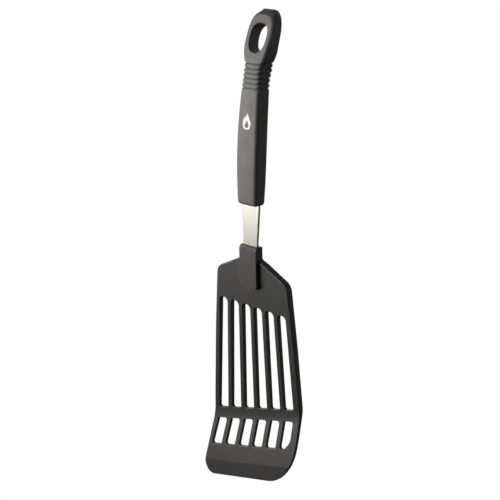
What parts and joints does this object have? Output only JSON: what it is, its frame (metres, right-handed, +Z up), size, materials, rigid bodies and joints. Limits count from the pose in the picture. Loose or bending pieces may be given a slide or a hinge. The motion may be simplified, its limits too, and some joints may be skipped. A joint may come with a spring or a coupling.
{
  "type": "grill spatula",
  "caption": "Long slotted turner with a soft grey handle, flat steel neck, bent fan-shaped blade with a slanted edge and a hanging eye.",
  "frame": {"origin": "middle of the hanging eye", "axes": "+Z up along the handle and the neck, X across the blade, -Y out of the blade's front face"},
  "size_m": [0.091, 0.0272, 0.3473],
  "materials": {
    "grip": "matt soft-touch warm grey",
    "core": "moulded dark grey",
    "strip": "satin, brushed along its length",
    "head": "fine matt black-grey nylon",
    "mark": "thin white print"
  },
  "bodies": {
    "root": {"handle_grip": "grip", "handle_core": "core", "neck_strip": "strip", "turner_head": "head", "handle_mark": "mark"}
  },
  "joints": []
}
